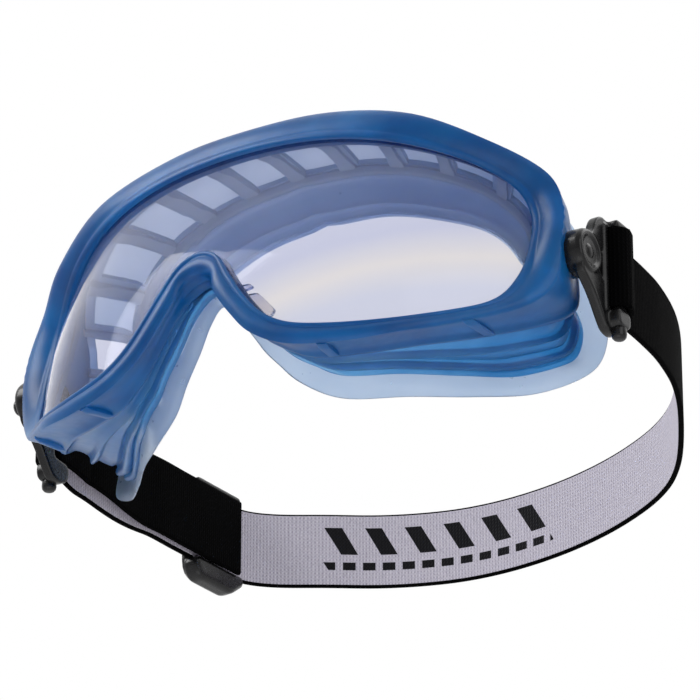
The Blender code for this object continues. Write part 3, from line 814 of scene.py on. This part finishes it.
def make_lens():
    """The clear lens: a thin wrapped shell with softened edges."""
    rows = ((1.0, 0.35), (0.996, 0.08), (0.985, 0.0), (0.95, 0), (0.88, 0), (0.78, 0), (0.66, 0), (0.53, 0),
            (0.4, 0), (0.27, 0), (0.14, 0))
    outline = [s.opening + s.outward * LENS_TUCK for s in stations]
    vertices, faces = [], []
    for back, sign in ((LENS_RECESS, 1), (LENS_RECESS + LENS_THICKNESS, -1)):
        for fraction, inset in rows:
            for point in outline:
                x = point.x * fraction
                z = LENS_CENTRE_Z + (point.z - LENS_CENTRE_Z) * fraction
                vertices.append((x, front_y(x, z) + back + sign * inset, z))
        vertices.append((0, front_y(0, LENS_CENTRE_Z) + back, LENS_CENTRE_Z))
    layer = len(rows) * COUNT + 1
    for base in (0, layer):
        for row in range(len(rows) - 1):
            for index in range(COUNT):
                faces.append(tuple(base + corner for corner in quad(row, row + 1, index, COUNT)))
        last = base + (len(rows) - 1) * COUNT
        for index in range(COUNT):
            faces.append((last + index, last + (index + 1) % COUNT, base + len(rows) * COUNT))
    for index in range(COUNT):
        following = (index + 1) % COUNT
        faces.append((index, following, layer + following, layer + index))
    return fix_normals(finish_mesh("lens_shell", vertices, faces, clear, sharp=80.0))


lens = make_lens()


def make_nose_tabs():
    """Two small clear locating tabs behind the lens, beside the nose."""
    made = []
    for outline, back in ((((8.3, 4.6), (12.0, 4.4), (12.6, 3.4), (8.8, 2.6)), 5.4),
                          (((9.4, 2.2), (13.6, 2.0), (18.2, -3.6), (16.6, -5.6), (11.6, -1.6)), 6.4)):
        for side in (1, -1):
            shape = rounded(outline, 0.9)
            made.append(loft("tab", [[Vector((side * x, front_y(x, z) + back + step, z)) for x, z in shape]
                                     for step in (0.0, 0.2, 0.8, 1.0)], False, clear))
    return join(made, "lens_nose_tabs")


nose_tabs = make_nose_tabs()

# ---------------- clips, pins, bars, slider

def plate_curve(outlines, centre_x, half, bevel):
    """A flat plate across X from closed outlines in (y, z), holes included, with rounded edges."""
    curve = bpy.data.curves.new("plate", "CURVE")
    curve.dimensions = "2D"
    curve.fill_mode = "BOTH"
    curve.extrude = half - bevel
    curve.bevel_depth = bevel
    curve.bevel_resolution = 2
    for outline in outlines:
        spline = curve.splines.new("POLY")
        spline.points.add(len(outline) - 1)
        spline.use_cyclic_u = True
        for point, (y, z) in zip(spline.points, outline):
            point.co = (y, z, 0, 1)
    shape = new_object("plate", curve)
    graph = bpy.context.evaluated_depsgraph_get()
    graph.update()
    mesh = bpy.data.meshes.new_from_object(shape.evaluated_get(graph))
    bpy.data.objects.remove(shape, do_unlink=True)
    for vertex in mesh.vertices:
        y, z, x = vertex.co
        vertex.co = to_world((centre_x + x, y, z))
    return fix_normals(new_object("plate", mesh))


CLIP_OUTLINE = (
    (46.2, 16.6), (48.4, 18.0), (50.6, 18.2), (51.8, 19.6), (52.6, 21.8), (53.8, 23.6), (55.6, 24.6), (58.4, 24.4),
    (60.8, 24.2), (63.8, 24.0), (64.2, 23.4), (63.8, 22.9), (58.2, 22.8), (57.5, 22.2), (57.5, 2.4), (58.2, 1.7),
    (63.4, 1.4), (64.0, -0.6), (63.2, -2.6), (60.6, -3.8), (57.6, -3.4), (55.6, -1.2), (53.6, 1.4), (51.4, 3.8),
    (48.8, 5.8), (46.0, 7.6))
CLIP_HOLLOW = ((51.9, 12.9), (56.0, 17.0), (56.0, 7.2))


def make_clip(name, side):
    """Waisted plate with a dished hollow, hub round the pivot, and two arms out to the strap bar."""
    plate = plate_curve([rounded(CLIP_OUTLINE, 1.4), rounded(CLIP_HOLLOW, 0.8)], side * 77.9, 1.3, 0.4)
    web = plate_curve([rounded(((50.6, 13.0), (56.8, 19.2), (56.8, 5.6)), 0.8)], side * 77.3, 0.6, 0.1)
    rib = plate_curve([rounded(((56.4, 23.2), (57.5, 23.2), (57.5, 1.0), (56.4, 1.0)), 0.4)], side * 78.9, 0.8, 0.3)
    profile = ((74.5, 5.1), (74.7, 5.6), (76.0, 5.7), (78.6, 5.6), (79.5, 5.2), (79.8, 4.5), (79.5, 3.7),
               (78.3, 3.1), (78.0, 2.05), (74.5, 2.05), (74.5, 5.1))
    hub = loft("hub", lathe(profile, side, steps=48), False, gloss_black, cap=False)
    parts = [plate, web, rib, hub]
    for low, high in ((-2.4, 1.3), (22.95, 24.0)):
        outline = rounded(((58.0, low), (62.9, low), (62.9, high), (58.0, high)), 1.6)
        parts.append(plate_curve([outline], side * 80.1, 2.0, 0.5))
    made = join(parts, name)
    return melt(made, 0.26, gloss_black)


def make_pin(name, side, reach):
    """reach is how far the pin's rounded end stands beyond its collar."""
    profile = ((68.6, 0.02), (68.6, 2.4), (68.75, 2.9), (69.1, 3.2), (69.9, 3.2), (70.1, 3.0), (70.1, 1.7),
               (78.2, 1.7), (78.2, 2.0), (78.4, 2.15), (78.9 + reach, 2.1), (79.3 + reach, 1.8),
               (79.6 + reach, 1.1), (79.7 + reach, 0.5), (79.7 + reach, 0.02))
    return loft(name, lathe(profile, side), False, gloss_black, sharp=35.0)


def make_bar(name, side):
    """Round bar across the clip's arms, with a rounded head below."""
    profile = ((-5.6, 0.02), (-5.6, 0.8), (-5.45, 1.3), (-5.0, 1.7), (-4.3, 1.85), (-3.4, 1.8), (0.0, 1.75),
               (23.4, 1.75), (24.3, 1.7), (24.6, 1.3), (24.7, 0.02))
    sections = [[Vector((side * BAR_X + r * c, BAR_Y + r * s, z)) for c, s in circle(28)] for z, r in profile]
    return loft(name, sections, False, gloss_black, sharp=35.0)


left_clip = make_clip("left_clip_shell", 1)
right_clip = make_clip("right_clip_shell", -1)
pins = {"left": make_pin("left_pin", 1, 0.0), "right": make_pin("right_pin", -1, 3.0)}
bars = {side: make_bar(side + "_bar", value) for side, value in (("left", 1), ("right", -1))}

# ---------------- headband

def loop_round_bar(side, start_degrees, sweep_degrees):
    """The webbing's plan round a strap bar."""
    radius = BAR_RADIUS + GAP + 0.1 + STRAP_THICKNESS / 2
    return [Vector((side * BAR_X + radius * math.cos(a), BAR_Y + radius * math.sin(a)))
            for a in (math.radians(start_degrees + sweep_degrees * step / 16) for step in range(17))]


def return_plan():
    """The doubled layer's plan, inside the headband's."""
    outer = [Vector(p) for p in HEADBAND_PLAN if p[0] < -70 and p[1] < RETURN_END_Y]
    inner = []
    for index in range(len(outer) - 1, 0, -1):
        along = (outer[index] - outer[index - 1]).normalized()
        inner.append(outer[index] + Vector((-along.y, along.x)) * LAYER_SPACING)
    along = (outer[0] - outer[1]).normalized()
    inner.append(outer[0] + Vector((along.y, -along.x)) * LAYER_SPACING)
    return inner


def even_spacing(points, step):
    """Points of a plan at even distances along it."""
    lengths = [0.0]
    for a, b in zip(points, points[1:]):
        lengths.append(lengths[-1] + (b - a).length)
    count = max(2, round(lengths[-1] / step))
    spaced, index = [], 0
    for number in range(count + 1):
        target = lengths[-1] * number / count
        while index < len(lengths) - 2 and lengths[index + 1] < target:
            index += 1
        share = (target - lengths[index]) / (lengths[index + 1] - lengths[index])
        spaced.append(points[index].lerp(points[index + 1], share))
    return spaced, lengths[-1]


STRAP_DROOP = 4.4
STRAP_SPREAD = 3.6


def hang(x, y, slip=0.0):
    """Where webbing at (x, y) in the plan hangs: lower and wider near the slider, and lower by slip near the clip."""
    lower = slip * smoothstep((-60.0 - x) / 8.0) * smoothstep((y - 64.0) / 9.0) * smoothstep((102.0 - y) / 22.0)
    lower += STRAP_DROOP * smoothstep((60.0 - x) / 90.0) * smoothstep((y - 64.0) / 35.0)
    wider = smoothstep((-50.0 - x) / 15.0) * smoothstep((y - 71.0) / 28.0) * smoothstep((160.0 - y) / 22.0)
    return Vector((x - STRAP_SPREAD * wider, y, STRAP_Z - lower))


def ribbon(name, plan, pale_from, pale_to, width=STRAP_WIDTH, slip=0.0):
    """Webbing on edge along a level plan, black, with one face lavender between two distances along it."""
    faces_across = 34
    half = width / 2
    face, edge = STRAP_THICKNESS / 2, STRAP_THICKNESS * 0.36
    round_off = STRAP_THICKNESS * 0.42
    heights = [-half + round_off + (width - 2 * round_off) * index / faces_across for index in range(faces_across + 1)]
    profile = [(face, height) for height in heights]
    profile += [(edge, half - 0.08), (0.0, half), (-edge, half - 0.08)]
    profile += [(-face, height) for height in reversed(heights)]
    profile += [(-edge, -half + 0.08), (0.0, -half), (edge, -half + 0.08)]
    size = len(profile)
    vertices, faces, uvs, indices = [], [], [], []
    travelled = [0.0]
    for a, b in zip(plan, plan[1:]):
        travelled.append(travelled[-1] + (b - a).length)
    for number, point in enumerate(plan):
        before = plan[max(number - 1, 0)]
        after = plan[min(number + 1, len(plan) - 1)]
        along = (after - before).normalized()
        out = Vector((along.y, -along.x))
        for offset, height in profile:
            place = point + out * offset
            vertices.append(hang(point.x, point.y, slip) + Vector((place.x - point.x, place.y - point.y, height)))
    for row in range(len(plan) - 1):
        for column in range(size):
            faces.append(quad(row, row + 1, column, size))
            low, high = profile[column][1], profile[(column + 1) % size][1]
            start, end = travelled[row], travelled[row + 1]
            uvs.append(((start, low), (start, high), (end, high), (end, low)))
            second_face = faces_across + 3 < column < size - 4
            pale = second_face and pale_from < travelled[row] < pale_to
            indices.append(1 if pale else 0)
    faces.append(tuple(reversed(range(size))))
    faces.append(tuple((len(plan) - 1) * size + column for column in range(size)))
    uvs += [[(0, height) for _, height in reversed(profile)], [(travelled[-1], height) for _, height in profile]]
    indices += [0, 0]
    made = finish_mesh(name, vertices, faces, [black_webbing, lavender], uvs=uvs, indices=indices, sharp=60.0)
    return fix_normals(made)


main_keys = open_curve(HEADBAND_PLAN, 8)
main_plan, main_length = even_spacing(loop_round_bar(1, 0, -180) + main_keys + loop_round_bar(-1, 180, 180), 0.6)
headband = ribbon("headband_webbing", main_plan, 16.0, main_length - 9.0, slip=2.2)
return_points = open_curve([tuple(p) for p in return_plan()], 8)
return_points[0] = main_plan[-1]
back_plan, return_length = even_spacing(return_points, 0.6)
doubled = ribbon("headband_return", back_plan, 0.0, return_length)
flap_plan, _ = even_spacing(open_curve(((79.7, 67.4), (80.8, 65.6), (82.4, 63.2), tuple(main_plan[0])), 5), 0.5)
flap = ribbon("sewn_flap", flap_plan, 0.0, 0.0, width=STRAP_WIDTH + 0.3)


def make_slider():
    """Three-bar slider: rounded frame outside the webbing, deep end rails, and a centre bar between the layers."""
    origin, beyond = Vector((-72.4, 123.0)), Vector((-71.4, 134.5))
    along = (beyond - origin).normalized()
    out = Vector((-along.y, along.x))
    centre = origin + along * (SLIDER_PLACE - origin.y)
    clear = STRAP_THICKNESS / 2 + 0.35
    inner_face, outer_face = -(LAYER_SPACING - clear), clear + 1.4

    def box_outline(low, high, bottom, top, radius):
        return rounded(((low, bottom), (high, bottom), (high, top), (low, top)), radius)

    def plate(outlines, low, high, bevel):
        return plate_curve(outlines, (low + high) / 2, (high - low) / 2, bevel)

    top, bottom = 11.9, -14.6
    parts = [plate([box_outline(-9.2, 9.2, bottom, top, 4.2), box_outline(-6.3, 6.3, -11.2, 10.7, 1.2)],
                   clear, outer_face, 0.45),
             plate([box_outline(-8.6, 8.6, 10.7, top, 1.0)], inner_face, outer_face - 0.4, 0.5),
             plate([rounded(((-8.9, -11.0), (-7.4, bottom), (5.2, bottom), (9.0, -11.6), (9.0, -11.0)), 1.5)],
                   inner_face - 0.6, outer_face - 0.4, 1.3),
             plate([box_outline(-1.7, 1.7, -11.6, 11.1, 0.6)], inner_face, -clear, 0.4)]
    made = join(parts, "slider_frame")
    hung = hang(centre.x, centre.y)
    for vertex in made.data.vertices:
        offset, distance, height = vertex.co.x / MM, vertex.co.y / MM + ORIGIN_Y, vertex.co.z / MM + ORIGIN_Z
        plan = centre + along * distance + out * offset
        vertex.co = to_world((plan.x + hung.x - centre.x, plan.y, hung.z + height))
    return melt(made, 0.3, gloss_black)


slider = make_slider()


def stitch_rows(name, plan, rows, low, high, pitch):
    """Rows of thread across webbing: rows are distances along the plan, and stitches run from low to high."""
    made = []
    for along_at in rows:
        travelled = 0.0
        for a, b in zip(plan, plan[1:]):
            if travelled + (b - a).length >= along_at:
                break
            travelled += (b - a).length
        direction = (b - a).normalized()
        out = Vector((direction.y, -direction.x))
        place = a + direction * (along_at - travelled) + out * STRAP_THICKNESS / 2
        z = low
        while z < high:
            sections = []
            for step in range(7):
                t = step / 6
                radius = 0.17 + 0.05 * math.sin(math.pi * t)
                lift = 0.16 * math.sin(math.pi * t)
                ring = [place + out * (lift + radius * c) + direction * radius * s for c, s in circle(6)]
                sections.append([Vector((point.x, point.y, STRAP_Z + z + t * pitch * 0.72)) for point in ring])
            made.append(loft("stitch", sections, False, black_webbing))
            z += pitch
    return join(made, name)


flap_stitches = stitch_rows("flap_stitches", flap_plan, (0.9, 2.1), -9.4, 8.4, 1.7)

# ---------------- bodies

for piece, body, slot_name, nodes in (
        (rim, "goggles", "body_rubber", ["front_rim"]),
        (pivot_bosses, "goggles", "body_rubber", []),
        (cross_ribs, "goggles", "body_rubber", []),
        (skirt, "goggles", "body_rubber", ["skirt"]),
        (posts, "goggles", "body_rubber", []),
        (ledge, "goggles", "body_rubber", []),
        (cover, "goggles", "body_rubber", ["brow_vent_cover"]),
        (seal, "goggles", "seal_rubber", ["face_seal"]),
        (lens, "goggles", "clear_lens", ["lens"]),
        (nose_tabs, "goggles", "clear_lens", []),
        (pins["left"], "goggles", "black_plastic", ["left_pivot_pin"]),
        (pins["right"], "goggles", "black_plastic", ["right_pivot_pin"]),
        (left_clip, "left_clip", "black_plastic", ["left_strap_clip"]),
        (right_clip, "right_clip", "black_plastic", ["right_strap_clip"]),
        (bars["left"], "left_clip", "black_plastic", ["left_strap_bar"]),
        (bars["right"], "right_clip", "black_plastic", ["right_strap_bar"]),
        (headband, "strap", "woven_elastic", ["headband"]),
        (flap, "strap", "woven_elastic", []),
        (flap_stitches, "strap", "woven_elastic", []),
        (slider, "slider", "black_plastic", ["slider"])):
    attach(piece, body)
    if nodes:
        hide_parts(*nodes)
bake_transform(doubled)

# ---------------- stage, camera and lights

FLOOR_Z = -0.75
bpy.ops.mesh.primitive_plane_add(size=12.0, location=(0, 0, FLOOR_Z))
floor = bpy.context.object
floor.name = "studio_floor"
pale = Shader("studio_floor", 0.7)
pale.colour(pale.ramp(pale.noise(3.0, 2.0), ((0.3, (0.86, 0.86, 0.87)), (0.7, (0.9, 0.9, 0.9)))))
floor.data.materials.append(pale.material)

# Direction from the goggles to the camera, the point it looks at, and how far away it stands.
SIGHT = Vector((0.4673, -0.7638, -0.4451))
TARGET = Vector((5.98, 62.3, 11.8))
CAMERA_DISTANCE = 1200
camera_data = bpy.data.cameras.new("camera")
camera_data.sensor_width = 36.0
camera_data.lens = 256.4
camera_data.clip_end = 30.0
camera = new_object("camera", camera_data)
camera.location = to_world(TARGET + SIGHT * CAMERA_DISTANCE)
camera.rotation_euler = SIGHT.to_track_quat("Z", "Y").to_euler()
bpy.context.scene.camera = camera


CENTRE = (0, 60, 15)
for name, place, size, energy in (
        ("key", (-520, -420, 620), (0.5, 0.5), 5.0),
        ("fill", (700, -250, 200), (0.5, 0.7), 1.5),
        ("under", (150, -350, -620), (0.7, 0.4), 0.6),
        ("back", (450, 500, 800), (0.8, 0.5), 2.0)):
    data = bpy.data.lights.new(name, "AREA")
    data.shape = "RECTANGLE"
    data.size, data.size_y = size
    data.energy = energy
    light = new_object(name, data)
    light.location = to_world(place)
    light.rotation_euler = (light.location - to_world(CENTRE)).to_track_quat("Z", "Y").to_euler()

# A white surround, dimmer on the camera's side so that the front keeps its colours, and plain white to the eye.
world = bpy.data.worlds.new("studio")
bpy.context.scene.world = world
world.use_nodes = True
sky = Nodes(world.node_tree)
facing = sky.node("VectorMath", operation="DOT_PRODUCT")
facing.inputs[1].default_value = -SIGHT
sky.link(sky.coordinates.outputs["Generated"], facing.inputs[0])
backdrop = sky.node("Mix", B=1.0)
sky.link(sky.node("LightPath").outputs["Is Camera Ray"], backdrop.inputs["Factor"])
sky.link(sky.smooth(facing.outputs["Value"], -0.3, 0.75, 0.3, 1.0), backdrop.inputs["A"])
background = sky.tree.nodes["Background"]
background.inputs["Color"].default_value = (1.0, 1.0, 1.0, 1.0)
sky.link(backdrop.outputs["Result"], background.inputs["Strength"])
bpy.context.scene.view_settings.view_transform = "Standard"
